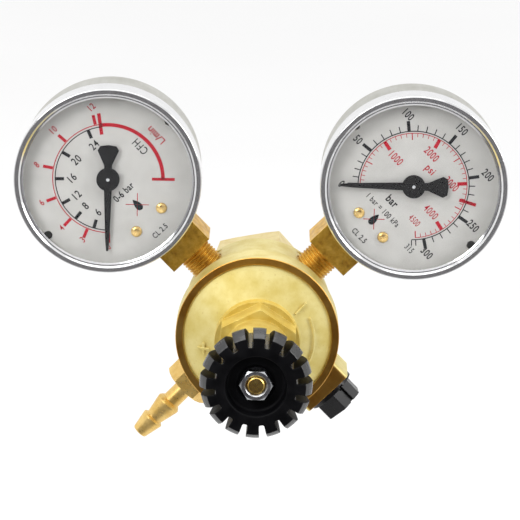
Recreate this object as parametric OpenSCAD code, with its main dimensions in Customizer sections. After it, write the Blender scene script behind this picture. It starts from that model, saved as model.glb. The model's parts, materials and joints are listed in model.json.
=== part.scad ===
// Small argon / CO2 gas regulator with two 50 mm pressure gauges.
// Frame: the origin is the centre of the inlet nut's mouth, on the axis of the body.
// +Z is up, +X is right, +Y points at the gas cylinder and the knob faces -Y.
// Distances called "ahead" are measured from the body's rim towards the knob.

/* [Body] */
// Distance from the inlet nut's mouth to the front face of the body's rim
rim_ahead = 57.6; // [57:0.1:62]
// Outer radius of the rim that the bonnet screws into
rim_r = 22.35; // [22:0.05:24]
// Radius of the bore that takes the bonnet
rim_bore_r = 20.35; // [20.35:0.05:21]
// Radius of the body behind the rim
body_r = 20.6; // [20.3:0.1:21.5]
// Length of the body from the rim's face to its back shoulder
body_len = 31; // [30.5:0.1:33]
// Distance of the four ports' plane behind the rim's face
port_behind = 22.3; // [22:0.1:22.6]
// Distance from the body's axis to the flat face of each port
port_face = 19.9; // [19.5:0.1:20.2]

/* [Bonnet] */
// Radius of the round boss that carries the hexagon
boss_r = 11.6; // [11.6:0.1:12.5]
// Size across the hexagon's flats
bonnet_af = 20.1; // [19:0.1:20.1]
// Radius of the plain spring tower
tower_r = 8.9; // [8.8:0.1:9]
// Distance from the rim's face to the end of the spring tower
tower_end = 31; // [30.5:0.1:31.5]

/* [Knob] */
// Radius over the knob's lugs
knob_r = 14.7; // [14.2:0.1:15.5]
// Number of lugs
knob_lugs = 16; // [12:1:18]
// Distance from the rim's face to the knob's back edge
knob_back = 33.4; // [33:0.1:34]
// Axial length of the knob
knob_len = 14.8; // [14.5:0.1:15.2]

/* [Inlet] */
// Size across the flats of the inlet nut
inlet_af = 30; // [28:0.5:32]
// Length of the inlet nut
inlet_len = 19.5; // [19:0.1:20]
// Radius of the nut's threaded hole, at the thread's crests
inlet_r = 10.1; // [10:0.05:10.5]

/* [Outlet] */
// Angle of the outlet about the body's axis, seen from the knob
outlet_at = 226.6; // [224:0.2:228]
// Size across the flats of the hose fitting
outlet_af = 12; // [11:0.5:13]
// Distance from the body's axis to the end of the fitting's hexagon
outlet_hex_end = 29; // [28:0.1:30]
// Length of the barbed tail
tail_len = 18.5; // [16:0.5:20]

/* [Relief valve] */
// Width of the square boss on the body
relief_w = 15; // [14.6:0.1:15.2]
// Distance from the body's axis to the face of the boss
relief_face = 28.5; // [28:0.1:29]
// Size across the flats of the cap
relief_af = 11; // [10.5:0.1:11.2]

/* [Gauges] */
// Distance from the body's axis to the centre of each gauge
gauge_reach = 58.75; // [58.5:0.05:59.5]
// Outer radius of the bezel
bezel_r = 25.5; // [25.4:0.1:26]
// Distance from the stem's centreline to the front of the bezel
bezel_front = 18.3; // [18:0.1:19]
// Distance from the stem's centreline to the back of the case
case_back = 9.8; // [9.5:0.1:11]
// Width of the square stem
stem_w = 13.5; // [13:0.5:14]

/* [Hidden] */
$fn = 96;
SIDES = ["left", "right"];
BODY_PARTS = ["body", "bonnet", "slip_ring", "diaphragm", "diaphragm_plate", "range_spring",
    "spring_button", "adjusting_screw", "adjusting_knob", "knob_washer", "knob_nut",
    "valve_seat", "push_pin", "poppet", "poppet_pad", "poppet_spring"];
PORT_PARTS = ["inlet_nipple", "inlet_filter", "inlet_seal", "inlet_nut", "hose_barb",
    "hose_barb_seal", "relief_cap", "relief_spring", "relief_poppet", "relief_seal"];
GAUGE_PARTS = ["case", "bezel", "window", "dial", "dial_screws", "pointer", "pinion",
    "sector_gear", "link", "movement_plates", "hairspring", "bourdon_tube", "socket",
    "stem_washer", "case_screws"];

BRASS = [0.83, 0.68, 0.32];
CAST_BRASS = [0.86, 0.74, 0.38];
STEEL = [0.72, 0.73, 0.74];
CHROME = [0.82, 0.83, 0.85];
BLACK = [0.07, 0.07, 0.08];
RUBBER = [0.12, 0.12, 0.12];

// Body and bonnet
rim_len = 9.5;
ledge = 11.2;
chamber_r = 13;
chamber_floor = 15;
neck_r = 10.5;
neck_end = 36.6;
seat_r = 5;
seat_front = 15.2;
seat_back = 20;
valve_r = 4.5;
nipple_seat = 29.2;
nipple_r = 7;
lp_drill_at = 11.5;
drill_r = 1.25;
port_floor = 13.4;
gauge_port_r = 4.85;
gauge_thread_r = 4.75;
outlet_port_r = 4.95;
relief_port_r = 4.2;
relief_seat = 19;
boss_base = 2.8;
hex_base = 6.6;
hex_end = 14.4;
bonnet_turn = 26.5;
spring_bore_r = 7.6;
screw_bore_r = 4.05;
tower_floor = 24;
plate_r = 11.5;

// Knob and screw
screw_r = 3.95;
stud_r = 2.45;
knob_nut_af = 7.6;
nut_face = 47.4;
knob_floor_r = 10.5;
knob_turn = 87.4;
inlet_turn = 11.1;
outlet_turn = 7;
relief_turn = 26;
crown_at = 11.5;

// Gauge, measured towards the viewer from the stem's centreline
case_r = bezel_r - 0.5;
case_wall = 0.8;
dial_z = 13.9;
dial_t = 0.5;
window_back = 16.25;
window_front = bezel_front - 1;
case_screw_at = 15;
stem_out = 32.4;
stem_end = gauge_reach - port_floor - 1;
gear_z = 6.6;
gear_t = 1;
gear_module = 0.25;
pinion_teeth = 10;
sector_teeth = 60;
gear_distance = gear_module * (pinion_teeth + sector_teeth) / 2;
tail_arm = 4;
tail_angle = -95;
link_len = 16;
link_angle = 15;
tube_r = 19;
tip_at = [tail_arm * cos(tail_angle) + link_len * cos(link_angle),
    -gear_distance + tail_arm * sin(tail_angle) + link_len * sin(link_angle)];

// Places the children on the body's axis: X right, Y up, Z ahead of the rim's face.
module ahead() {
    translate([0, -rim_ahead, 0])
        rotate([90, 0, 0])
            children();
}

// Places the children at a port: Z outwards from the body's axis, Y along the row's +Y.
module port(angle) {
    translate([0, port_behind - rim_ahead, 0])
        rotate([0, 90 - angle, 0])
            children();
}

// Places the children in a gauge: X right and Y up on the dial, Z towards the viewer.
module gauge_at(side) {
    port(side == "left" ? 135 : 45)
        translate([0, 0, gauge_reach])
            rotate([90, 0, 0])
                children();
}

// A revolved solid with a rectangular section.
module ring(r_in, r_out, z_low, z_high) {
    translate([0, 0, z_low])
        difference() {
            cylinder(r = r_out, h = z_high - z_low);
            if (r_in > 0)
                translate([0, 0, -1])
                    cylinder(r = r_in, h = z_high - z_low + 2);
        }
}

// A hexagonal bar whose corners are bevelled at the far end, and at the near end if asked.
module hex_bar(af, z_low, z_high, bevel, near_bevel = 0) {
    corner_r = af / sqrt(3);
    intersection() {
        translate([0, 0, z_low])
            cylinder(r = corner_r, h = z_high - z_low, $fn = 6);
        rotate_extrude()
            polygon([[0, z_low], [corner_r - near_bevel * 2, z_low],
                [corner_r + 0.1, z_low + near_bevel * 1.2], [corner_r + 0.1, z_high - bevel * 1.2],
                [corner_r - bevel * 2, z_high], [0, z_high]]);
    }
}

// A threaded bar: V-shaped rings between the root and crest radii.
module thread_bar(r_root, r_crest, z_low, z_high, pitch) {
    turns = floor((z_high - z_low) / pitch);
    step = (z_high - z_low) / turns;
    rotate_extrude()
        polygon(concat([[0, z_low]],
            [for (i = [0:turns - 1]) each [[r_root, z_low + i * step],
                [r_crest, z_low + (i + 0.4) * step], [r_crest, z_low + (i + 0.6) * step]]],
            [[r_root, z_high], [0, z_high]]));
}

// A helical spring of round wire with a closed turn at each end.
module coil_spring(mean_r, wire_r, z_low, z_high, turns, ring_sides = 8) {
    steps = turns * 16;
    rise = z_high - z_low - 2 * wire_r;
    function lift(t) = let (u = (t * turns - 0.8) / (turns - 1.6)) rise * min(max(u, 0), 1);
    points = [for (i = [0:steps]) let (t = i / steps, a = 360 * turns * t)
        for (k = [0:ring_sides - 1]) let (b = 360 * k / ring_sides, r = mean_r + wire_r * cos(b))
            [r * cos(a), r * sin(a), z_low + wire_r + lift(t) + wire_r * sin(b)]];
    side_faces = [for (i = [0:steps - 1]) for (k = [0:ring_sides - 1])
        let (n = (k + 1) % ring_sides)
            [i * ring_sides + k, i * ring_sides + n,
                (i + 1) * ring_sides + n, (i + 1) * ring_sides + k]];
    first_face = [for (k = [ring_sides - 1:-1:0]) k];
    last_face = [for (k = [0:ring_sides - 1]) steps * ring_sides + k];
    polyhedron(points, concat(side_faces, [first_face, last_face]), convexity = 6);
}

// Forged and machined body: bonnet bore, low-pressure chamber, valve bore and four ports.
module body() {
    color(CAST_BRASS)
        difference() {
            union() {
                ahead()
                    rotate_extrude()
                        polygon([[0, 0], [rim_r - 0.15, 0], [rim_r, -0.15], [rim_r, -rim_len + 0.6],
                            [rim_r - 0.6, -rim_len], [body_r, -rim_len], [body_r, -body_len + 1.5],
                            [body_r - 1.5, -body_len], [neck_r, -body_len], [neck_r, -neck_end],
                            [0, -neck_end]]);
                port(-45)
                    relief_boss();
            }
            ahead() {
                translate([0, 0, -ledge])
                    cylinder(r = rim_bore_r, h = ledge + 1);
                translate([0, 0, -chamber_floor])
                    cylinder(r = chamber_r, h = chamber_floor);
                translate([0, 0, -seat_back])
                    cylinder(r = seat_r, h = seat_back);
                translate([0, 0, -neck_end + 1])
                    cylinder(r = valve_r, h = neck_end - 2);
                translate([0, 0, -neck_end - 1])
                    cylinder(r = nipple_r, h = neck_end - nipple_seat + 1);
            }
            for (angle = [45, 135])
                port(angle)
                    gauge_port_cut();
            port(outlet_at)
                outlet_port_cut();
            port(-45)
                relief_port_cut();
            for (angle = [135, outlet_at, -45])
                port(angle)
                    low_pressure_drilling();
            port(45)
                translate([0, 0, valve_r - 1])
                    cylinder(r = drill_r, h = port_floor - valve_r + 2);
        }
}

// Square boss with rounded corners that carries the relief valve.
module relief_boss() {
    corner = 1.2;
    half = relief_w / 2 - corner;
    translate([0, 0, 12])
        linear_extrude(relief_face - 12) {
            square([relief_w, 2 * half], center = true);
            square([2 * half, relief_w], center = true);
            for (x = [-half, half])
                for (y = [-half, half])
                    translate([x, y])
                        circle(corner);
        }
}

// Spot face and threaded bore for a gauge.
module gauge_port_cut() {
    translate([0, 0, port_face])
        cylinder(r = 7, h = 6);
    translate([0, 0, port_floor])
        cylinder(r = gauge_port_r, h = 10);
}

// Spot face and bore for the hose fitting.
module outlet_port_cut() {
    translate([0, 0, port_face])
        cylinder(r = 8.2, h = 6);
    translate([0, 0, port_floor])
        cylinder(r = outlet_port_r, h = 10);
}

// Bore that holds the relief valve, with its raised seat.
module relief_port_cut() {
    difference() {
        translate([0, 0, relief_seat])
            cylinder(r = relief_port_r, h = relief_face);
        ring(drill_r, 2, relief_seat - 1, relief_seat + 0.6);
    }
    translate([0, 0, port_floor - 1])
        cylinder(r = drill_r, h = relief_seat - port_floor + 2);
}

// Passage from a port to the low-pressure chamber.
module low_pressure_drilling() {
    translate([0, 0, lp_drill_at - 1.1])
        cylinder(r = drill_r, h = port_floor - lp_drill_at + 2);
    translate([0, -(port_behind - chamber_floor) - 1, lp_drill_at])
        rotate([-90, 0, 0])
            cylinder(r = drill_r, h = port_behind - chamber_floor + 2);
}

// Bonnet: screwed flange, round boss, hexagon and spring tower in one piece.
module bonnet() {
    color(CAST_BRASS)
        ahead()
            difference() {
                union() {
                    rotate_extrude()
                        polygon([[0, -9.55], [rim_bore_r - 0.05, -9.55], [rim_bore_r - 0.05, -0.9],
                            [rim_bore_r - 0.45, -0.5], [boss_r, boss_base], [boss_r, hex_base],
                            [0, hex_base]]);
                    rotate([0, 0, bonnet_turn])
                        hex_bar(bonnet_af, hex_base - 1.5, hex_end, 0.15);
                    translate([0, 0, hex_base])
                        cylinder(r = tower_r, h = tower_end - hex_base - 0.5);
                    translate([0, 0, tower_end - 0.5])
                        cylinder(r1 = tower_r, r2 = tower_r - 0.5, h = 0.5);
                }
                translate([0, 0, -10])
                    cylinder(r = plate_r + 1.5, h = 6);
                translate([0, 0, -10])
                    cylinder(r = spring_bore_r, h = 10 + tower_floor);
                cylinder(r = screw_bore_r, h = tower_end + 1);
            }
}

// Thin ring that lets the bonnet turn without dragging the diaphragm.
module slip_ring() {
    color(STEEL)
        ahead()
            ring(14.5, 19.8, -9.95, -9.6);
}

// Fabric-reinforced rubber diaphragm.
module diaphragm() {
    color(RUBBER)
        ahead()
            ring(0, 19.9, -11.15, -10);
}

// Plate that spreads the range spring's load over the diaphragm.
module diaphragm_plate() {
    color(BRASS)
        ahead()
            rotate_extrude()
                polygon([[0, -9.95], [plate_r, -9.95], [plate_r, -8.4], [plate_r - 0.6, -7.8],
                    [5, -7.8], [5, -5.6], [4.4, -5], [0, -5]]);
}

// Main spring that sets the outlet pressure.
module range_spring() {
    color(STEEL)
        ahead()
            coil_spring(6.15, 0.95, -7.75, 17.95, 7);
}

// Disc that passes the screw's thrust to the range spring.
module spring_button() {
    color(BRASS)
        ahead()
            rotate_extrude()
                polygon([[0, 15.5], [4.2, 15.5], [4.8, 16.1], [4.8, 18], [7.2, 18], [7.2, 20.6],
                    [6.8, 21], [2.2, 21], [0, 20.2]]);
}

// Adjusting screw: cone point, screwed shank, shoulder, flatted drive and stud end.
module adjusting_screw() {
    shank_end = 39.7;
    drive_end = 43.4;
    color(BRASS)
        ahead() {
            translate([0, 0, 20.35])
                cylinder(r1 = 0.2, r2 = 2.4, h = 1.45);
            thread_bar(screw_r - 0.6, screw_r, 21.8, shank_end, 1.25);
            intersection() {
                translate([0, 0, shank_end])
                    cylinder(r = screw_r, h = drive_end - shank_end);
                translate([-5, -3, shank_end])
                    cube([10, 6, drive_end - shank_end]);
            }
            thread_bar(stud_r - 0.3, stud_r, drive_end, nut_face - 0.3, 0.8);
            translate([0, 0, nut_face - 0.3])
                cylinder(r1 = stud_r - 0.15, r2 = stud_r - 0.5, h = 0.3);
        }
}

// Outline of a lug along the axis: crowned like a tyre's tread, fullest near the front.
function lug_r(z) = let (back = z < crown_at, u = (z - crown_at) / (back ? crown_at : knob_len - crown_at))
    knob_r - (back ? 3.75 : 1.8) * pow(abs(u), 1.5);

// Knob with crowned lugs, a hollow back that clears the tower and a dished front.
module adjusting_knob() {
    steps = 12;
    color(BLACK)
        ahead()
            translate([0, 0, knob_back])
                difference() {
                    rotate_extrude()
                        polygon(concat([[0, 0]],
                            [for (i = [0:steps]) [lug_r(knob_len * i / steps), knob_len * i / steps]],
                            [[8.2, knob_len], [8, knob_len - 0.2], [7.7, knob_len - 3.2],
                                [7.2, knob_len - 3.6], [5.0, knob_len - 3.6], [5.0, knob_len - 4.6],
                                [0, knob_len - 4.6]]));
                    for (i = [0:knob_lugs - 1])
                        rotate([0, 0, knob_turn + 360 * (i + 0.5) / knob_lugs])
                            lug_gap();
                    translate([0, 0, -1])
                        cylinder(r = tower_r + 0.6, h = 7.4);
                    translate([0, 0, 5])
                        knob_drive_hole();
                }
}

// Open gap between two lugs, wider at the outside, with rounded corners at its floor.
module lug_gap() {
    translate([0, 0, -1])
        linear_extrude(knob_len + 2)
            polygon([[knob_floor_r, -0.45], [knob_floor_r + 0.3, -0.75], [knob_r + 2, -1.35],
                [knob_r + 2, 1.35], [knob_floor_r + 0.3, 0.75], [knob_floor_r, 0.45]]);
}

// Hole in the knob with two flats that the screw drives.
module knob_drive_hole() {
    intersection() {
        cylinder(r = screw_r + 0.05, h = 8);
        translate([-5, -3.05, 0])
            cube([10, 6.1, 8]);
    }
}

// Washer under the knob's nut.
module knob_washer() {
    color(STEEL)
        ahead()
            ring(stud_r + 0.1, 4.2, knob_back + knob_len - 4.6, knob_back + knob_len - 4);
}

// Plated hexagon nut that holds the knob on the screw.
module knob_nut() {
    color(STEEL)
        ahead()
            difference() {
                hex_bar(knob_nut_af, knob_back + knob_len - 3.98, nut_face, 0.3);
                translate([0, 0, knob_back])
                    cylinder(r = stud_r + 0.02, h = 30);
                translate([0, 0, nut_face - 0.5])
                    cylinder(r1 = stud_r, r2 = stud_r + 0.6, h = 0.6);
            }
}

// Screwed seat with the nozzle that the poppet closes.
module valve_seat() {
    color(BRASS)
        ahead()
            difference() {
                rotate_extrude()
                    polygon([[0, -seat_front], [seat_r - 0.05, -seat_front],
                        [seat_r - 0.05, -seat_back + 0.05], [valve_r - 0.1, -seat_back + 0.05],
                        [valve_r - 0.1, -seat_back - 0.2], [2.6, -seat_back - 0.2],
                        [2.1, -seat_back - 1], [0, -seat_back - 1]]);
                translate([0, 0, -seat_back - 2])
                    cylinder(r = 1.5, h = 8);
            }
}

// Pin with a head that carries the diaphragm's motion to the poppet.
module push_pin() {
    color(STEEL)
        ahead() {
            translate([0, 0, -12.3])
                cylinder(r = 4, h = 1.1);
            translate([0, 0, -21.6])
                cylinder(r = 0.8, h = 9.4);
        }
}

// Poppet that carries the sealing pad and is guided by the nipple.
module poppet() {
    color(BRASS)
        ahead()
            difference() {
                rotate_extrude()
                    polygon([[0, -21.6], [3.6, -21.6], [3.6, -24.2], [1.5, -24.2], [1.5, -28.6],
                        [1.1, -29], [0, -29]]);
                translate([0, 0, -22.8])
                    cylinder(r = 2.7, h = 2);
            }
}

// Plastic pad that closes the nozzle.
module poppet_pad() {
    color([0.93, 0.92, 0.88])
        ahead()
            difference() {
                translate([0, 0, -22.75])
                    cylinder(r = 2.65, h = 1.7);
                translate([0, 0, -21.6])
                    cylinder(r = 0.85, h = 2);
            }
}

// Return spring behind the poppet.
module poppet_spring() {
    color(STEEL)
        ahead()
            coil_spring(2.6, 0.35, -31.3, -24.25, 5, 6);
}

// Nipple: screwed into the body, with the collar that the nut pulls on.
module inlet_nipple() {
    color(BRASS)
        ahead()
            difference() {
                rotate_extrude()
                    polygon([[0, -31.4], [nipple_r - 0.45, -31.4], [nipple_r - 0.05, -31.8],
                        [nipple_r - 0.05, -neck_end - 0.05], [6, -neck_end - 0.05], [6, -42.5],
                        [9.4, -42.5], [9.4, -45.8], [9, -46.4], [0, -46.4]]);
                translate([0, 0, -50])
                    cylinder(r = 2, h = 30);
                translate([0, 0, -50])
                    cylinder(r = 4, h = 8.6);
            }
}

// Sintered filter in the nipple's mouth.
module inlet_filter() {
    color([0.62, 0.5, 0.33])
        ahead()
            translate([0, 0, -46.3])
                cylinder(r = 3.95, h = 4.8);
}

// Flat sealing washer between the nipple and the cylinder valve.
module inlet_seal() {
    color([0.9, 0.89, 0.85])
        ahead()
            ring(4.4, 9, -48.4, -46.45);
}

// Union nut with a shoulder at its front and the cylinder thread at its mouth.
module inlet_nut() {
    undercut_r = inlet_r + 0.9;
    thread_len = 8.7;
    color(CAST_BRASS)
        difference() {
            rotate([90, -inlet_turn, 0])
                hex_bar(inlet_af, 0, inlet_len, 0.9, 0.9);
            rotate([90, 0, 0]) {
                translate([0, 0, -1])
                    cylinder(r = inlet_r, h = 2 + thread_len);
                translate([0, 0, thread_len])
                    cylinder(r = undercut_r, h = inlet_len - 4 - thread_len);
                cylinder(r = 6.3, h = inlet_len + 1);
            }
        }
}

// Hose fitting: screwed spigot, hexagon and a tail with two barbs.
module hose_barb() {
    color(BRASS)
        port(outlet_at)
            difference() {
                union() {
                    thread_bar(4.3, outlet_port_r - 0.1, port_floor + 0.6, port_face, 0.9);
                    translate([0, 0, port_face])
                        cylinder(r = 4.3, h = 1.5);
                    rotate([0, 0, outlet_turn])
                        hex_bar(outlet_af, port_face + 1.05, outlet_hex_end, 0.4, 0.4);
                    translate([0, 0, outlet_hex_end])
                        barbed_tail();
                }
                cylinder(r = 1.3, h = 60);
            }
}

// Barbed tail, drawn from the hexagon's end outwards.
module barbed_tail() {
    rotate_extrude()
        polygon([[0, -1], [3, -1], [3, 0], [2.6, 0.4], [2.6, tail_len * 0.3],
            [3.2, tail_len * 0.33], [3.6, tail_len * 0.36], [3.6, tail_len * 0.38],
            [2.45, tail_len * 0.67], [3.2, tail_len * 0.7], [3.2, tail_len * 0.72],
            [2.2, tail_len - 0.2], [2, tail_len], [0, tail_len]]);
}

// Copper washer under the hose fitting.
module hose_barb_seal() {
    color([0.72, 0.43, 0.27])
        port(outlet_at)
            ring(outlet_port_r, 6.4, port_face + 0.02, port_face + 1);
}

// Relief valve cap: flange, hexagon with vent slots and a hollow shank.
module relief_cap() {
    hex_start = relief_face + 1.45;
    hex_stop = relief_face + 6.7;
    color(BLACK)
        port(-45)
            difference() {
                union() {
                    ring(0, 7.05, relief_face + 0.02, hex_start);
                    rotate([0, 0, relief_turn])
                        hex_bar(relief_af, hex_start - 0.5, hex_stop, 0.12);
                    ring(0, relief_port_r - 0.05, relief_face - 3.2, relief_face + 0.5);
                }
                translate([0, 0, relief_face - 4])
                    cylinder(r = 3.1, h = 7.4);
                rotate([0, 0, relief_turn])
                    for (i = [0:2])
                        rotate([0, 0, 90 + 120 * i])
                            vent_slot(hex_start - 0.6, hex_stop);
            }
}

// Slot along one flat of the cap, with a vent hole through to the spring's bore.
module vent_slot(z_low, z_high) {
    translate([relief_af / 2 - 0.8, -0.6, z_low])
        cube([3, 1.2, z_high - z_low + 1]);
    translate([0, 0, z_low + 1])
        rotate([0, 90, 0])
            cylinder(r = 0.5, h = relief_af);
}

// Spring that holds the relief poppet down.
module relief_spring() {
    color(STEEL)
        port(-45)
            coil_spring(2.45, 0.3, relief_seat + 2.65, relief_face + 3.35, 6, 6);
}

// Relief poppet with its guide stem.
module relief_poppet() {
    color(BRASS)
        port(-45)
            rotate_extrude()
                polygon([[0, relief_seat + 1.5], [3.6, relief_seat + 1.5], [3.6, relief_seat + 2.6],
                    [1.4, relief_seat + 2.6], [1.4, relief_seat + 5.5], [0, relief_seat + 5.5]]);
}

// Rubber disc under the relief poppet.
module relief_seal() {
    color(RUBBER)
        port(-45)
            ring(0, 3.3, relief_seat + 0.65, relief_seat + 1.5);
}

// Half section of a cup: straight wall, rounded bottom corner.
module cup_section(r, z_low, z_high, corner) {
    translate([0, z_low])
        square([r - corner, corner]);
    translate([0, z_low + corner])
        square([r, z_high - z_low - corner]);
    intersection() {
        translate([r - corner, z_low + corner])
            circle(corner);
        translate([r - corner, z_low])
            square(corner);
    }
}

// Drawn steel case, open at the front and cut out for the stem.
module gauge_case() {
    color(CHROME)
        difference() {
            rotate_extrude()
                difference() {
                    cup_section(case_r, -case_back, window_back - 0.05, 7.5);
                    cup_section(case_r - case_wall, case_wall - case_back, window_back + 1, 6.7);
                }
            translate([-stem_w / 2 - 0.05, -case_r - 1, -stem_w / 2 - 0.05])
                cube([stem_w + 0.1, 6, stem_w + 0.1]);
            for (x = [-4, 4])
                translate([x, -case_screw_at, -case_back - 1])
                    cylinder(r = 1.3, h = 3);
        }
}

// Rolled bezel that holds the window: outer bead, flat face, inner slope and thin lip.
module gauge_bezel() {
    lip_r = bezel_r - 2.6;
    skirt = 8.8;
    bead = 0.5;
    color(CHROME)
        rotate_extrude()
            polygon(concat([[case_r + 0.05, bezel_front - skirt],
                [bezel_r - 0.1, bezel_front - skirt], [bezel_r, bezel_front - skirt + 0.3]],
                [for (a = [0:15:90])
                    [bezel_r - bead + bead * cos(a), bezel_front - bead + bead * sin(a)]],
                [[bezel_r - 1.35, bezel_front], [bezel_r - 1.8, bezel_front - 0.4],
                    [bezel_r - 1.85, bezel_front - 0.6], [bezel_r - 2.15, bezel_front - 0.6],
                    [lip_r, bezel_front - 0.85], [lip_r, window_front + 0.03],
                    [case_r + 0.05, window_front + 0.03]]));
}

// Clear window.
module gauge_window() {
    color([0.9, 0.95, 1, 0.25])
        ring(0, case_r - 0.05, window_back, window_front);
}

// Flat dial with its centre hole, two screw holes and rim notches.
module gauge_dial() {
    dial_r = case_r - case_wall - 0.2;
    color([0.93, 0.93, 0.92])
        difference() {
            translate([0, 0, dial_z - dial_t])
                cylinder(r = dial_r, h = dial_t);
            translate([0, 0, dial_z - 1])
                cylinder(r = 1.2, h = 2);
            for (x = [-4.75, 4.75])
                translate([x, -15.9, dial_z - 1])
                    cylinder(r = 0.9, h = 2);
            for (x = [-23, 23])
                translate([x, 0, dial_z - 1])
                    cylinder(r = 1.2, h = 2);
        }
}

// Two dome-headed brass screws that hold the dial on the socket's posts.
module gauge_dial_screws() {
    color(BRASS)
        for (x = [-4.75, 4.75])
            translate([x, -15.9, 0])
                rotate_extrude()
                    polygon([[0, dial_z - 3], [0.85, dial_z - 3], [0.85, dial_z + 0.01],
                        [1.5, dial_z + 0.01], [1.5, dial_z + 0.25], [1.3, dial_z + 0.5],
                        [0.9, dial_z + 0.7], [0.4, dial_z + 0.8], [0, dial_z + 0.82]]);
}

// Pointer with a round hub and a spade-shaped counterweight, resting at zero.
module gauge_pointer() {
    color(BLACK)
        rotate([0, 0, 135])
            difference() {
                union() {
                    translate([0, 0, 14.95])
                        linear_extrude(0.35) {
                            polygon([[-1.15, 0], [1.15, 0], [0.6, 16.5], [0.3, 20], [-0.3, 20],
                                [-0.6, 16.5]]);
                            polygon([[-0.8, 0], [0.8, 0], [1.1, -4], [2.9, -8], [2.2, -9.2],
                                [0, -9.5], [-2.2, -9.2], [-2.9, -8], [-1.1, -4]]);
                        }
                    ring(0, 3.15, 14.75, 15.7);
                }
                translate([0, 0, 14])
                    cylinder(r = 0.47, h = 3);
            }
}

// Gear tooth outline about the pitch point at angle a.
function tooth(pitch_r, a, outer, inner) = let (d = 180 / PI / pitch_r) [
    [(pitch_r - inner) * cos(a - 0.22 * d), (pitch_r - inner) * sin(a - 0.22 * d)],
    [pitch_r * cos(a - 0.16 * d), pitch_r * sin(a - 0.16 * d)],
    [(pitch_r + outer) * cos(a - 0.08 * d), (pitch_r + outer) * sin(a - 0.08 * d)],
    [(pitch_r + outer) * cos(a + 0.08 * d), (pitch_r + outer) * sin(a + 0.08 * d)],
    [pitch_r * cos(a + 0.16 * d), pitch_r * sin(a + 0.16 * d)],
    [(pitch_r - inner) * cos(a + 0.22 * d), (pitch_r - inner) * sin(a + 0.22 * d)]];

// Pinion on the pointer's arbor.
module gauge_pinion() {
    pitch_r = gear_module * pinion_teeth / 2;
    color(BRASS) {
        translate([0, 0, gear_z - 0.2])
            linear_extrude(gear_t + 0.4)
                polygon([for (i = [0:pinion_teeth - 1])
                    each tooth(pitch_r, -72 + 360 * i / pinion_teeth, 0.2, 0.3)]);
        translate([0, 0, 4.7])
            cylinder(r = 0.45, h = 11.1, $fn = 32);
    }
}

// Toothed sector with its arbor and tail.
module gauge_sector_gear() {
    pitch_r = gear_module * sector_teeth / 2;
    step = 360 / sector_teeth;
    teeth = [for (i = [-9:2]) each tooth(pitch_r, 90 + step * i, 0.2, 0.3)];
    color(BRASS)
        translate([0, -gear_distance, 0]) {
            translate([0, 0, gear_z])
                linear_extrude(gear_t) {
                    difference() {
                        polygon(concat([[0, 0]], teeth));
                        circle(5.4);
                    }
                    for (a = [40, 98])
                        rotate(a)
                            translate([0, -0.6])
                                square([7, 1.2]);
                    circle(1.4, $fn = 32);
                    rotate(tail_angle)
                        translate([0, -0.6])
                            square([tail_arm, 1.2]);
                }
            translate([0, 0, 4.7])
                cylinder(r = 0.45, h = 5.8, $fn = 32);
            rotate([0, 0, tail_angle])
                translate([tail_arm, 0, gear_z]) {
                    cylinder(r = 0.9, h = gear_t, $fn = 32);
                    cylinder(r = 0.4, h = gear_t + 1.2, $fn = 32);
                }
        }
}

// Link between the sector's tail and the tube's tip.
module gauge_link() {
    color(BRASS)
        translate([tail_arm * cos(tail_angle), -gear_distance + tail_arm * sin(tail_angle), 0])
            rotate([0, 0, link_angle])
                translate([0, 0, gear_z + gear_t + 0.1])
                    difference() {
                        linear_extrude(0.5) {
                            translate([0, -0.45])
                                square([link_len, 0.9]);
                            circle(1, $fn = 32);
                            translate([link_len, 0])
                                circle(1, $fn = 32);
                        }
                        for (x = [0, link_len])
                            translate([x, 0, -1])
                                cylinder(r = 0.48, h = 3, $fn = 32);
                    }
}

// Movement frame: two plates on three pillars, screwed to the socket.
module gauge_movement_plates() {
    color(BRASS)
        difference() {
            union() {
                for (z = [5.02, 9.4])
                    translate([-5, -13.9, z])
                        cube([10, 17.3, 0.8]);
                translate([-2.7, -20, 5.02])
                    cube([5.4, 7, 0.8]);
                for (p = [[-4, -12.6], [-4, 2.2], [4, 2.2]])
                    translate([p[0], p[1], 5.4])
                        cylinder(r = 0.8, h = 4.4, $fn = 32);
            }
            for (y = [0, -gear_distance])
                translate([0, y, 4])
                    cylinder(r = 0.53, h = 8, $fn = 32);
        }
}

// Flat spiral hairspring around the arbor.
module gauge_hairspring() {
    turns = 3;
    steps = turns * 20;
    half = 0.05;
    function spiral(i, side) = let (t = i / steps, r = 0.9 + 2.3 * t + side * half)
        [r * cos(360 * turns * t), r * sin(360 * turns * t)];
    color([0.7, 0.6, 0.4])
        translate([0, 0, 8.55])
            linear_extrude(0.4)
                polygon(concat([for (i = [0:steps]) spiral(i, 1)],
                    [for (i = [steps:-1:0]) spiral(i, -1)]));
}

// C-shaped flattened tube with its tip piece.
module gauge_bourdon_tube() {
    color([0.75, 0.58, 0.3]) {
        rotate([0, 0, -20])
            rotate_extrude(angle = 275)
                difference() {
                    tube_section(0);
                    tube_section(0.35);
                }
        translate([tip_at[0], tip_at[1], -3.2]) {
            cylinder(r = 1.5, h = gear_z + gear_t + 3.2, $fn = 32);
            cylinder(r = 0.4, h = gear_z + gear_t + 4.2, $fn = 32);
        }
        rotate([0, 0, -20])
            translate([tube_r - 2.5, -2.2, -3.2])
                cube([4, 2.6, 6.4]);
    }
}

// Flat oval section of the tube, made smaller by the inset.
module tube_section(inset) {
    round_r = 1 - inset;
    for (y = [-2, 2])
        translate([tube_r, y])
            circle(round_r, $fn = 32);
    translate([tube_r - round_r, -2])
        square([2 * round_r, 4]);
}

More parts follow.
